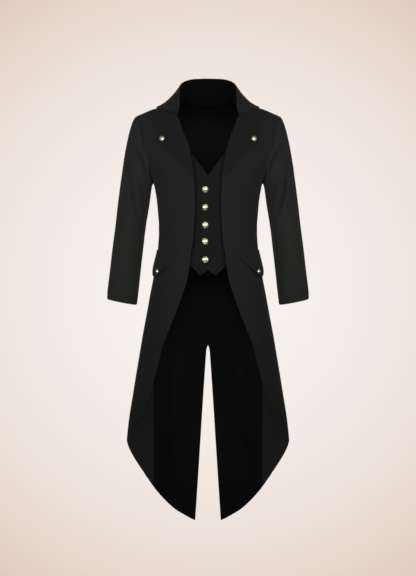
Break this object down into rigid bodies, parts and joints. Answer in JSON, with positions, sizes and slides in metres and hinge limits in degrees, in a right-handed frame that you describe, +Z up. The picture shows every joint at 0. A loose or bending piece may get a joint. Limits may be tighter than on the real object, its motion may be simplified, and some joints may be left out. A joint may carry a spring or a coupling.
{
  "type": "tailcoat",
  "caption": "Long fitted tailcoat with a high collar, wide pointed lapels, a mock waistcoat front and two pointed tails.",
  "frame": {"origin": "midway between the shoulders at the height of the neck points, where the wearer's shoulders carry the coat", "axes": "+X to the wearer's left, -Y towards the front of the coat, +Z up"},
  "size_m": [0.6352, 0.2685, 1.4115],
  "materials": {
    "outer_cloth": "black suiting, matt, with a fine twill",
    "sleeve_cloth": "black suiting, matt, a shade lighter than the body",
    "lining_cloth": "black lining, faintly glossy",
    "pale_brass": "polished pale gold, domed"
  },
  "bodies": {
    "root": {"front_left": "outer_cloth", "front_right": "outer_cloth", "back_left": "outer_cloth", "back_right": "outer_cloth", "lining_left": "lining_cloth", "lining_right": "lining_cloth", "sleeve_top_left": "sleeve_cloth", "sleeve_top_right": "sleeve_cloth", "sleeve_under_left": "sleeve_cloth", "sleeve_under_right": "sleeve_cloth", "collar": "outer_cloth", "lapel_left": "outer_cloth", "lapel_right": "outer_cloth", "vest_left": "outer_cloth", "vest_right": "outer_cloth", "flap_left": "outer_cloth", "flap_right": "outer_cloth", "button_vest_1": "pale_brass", "button_vest_2": "pale_brass", "button_vest_3": "pale_brass", "button_vest_4": "pale_brass", "button_vest_5": "pale_brass", "button_lapel_left": "pale_brass", "button_lapel_right": "pale_brass", "button_flap_left": "pale_brass", "button_flap_right": "pale_brass"}
  },
  "joints": []
}
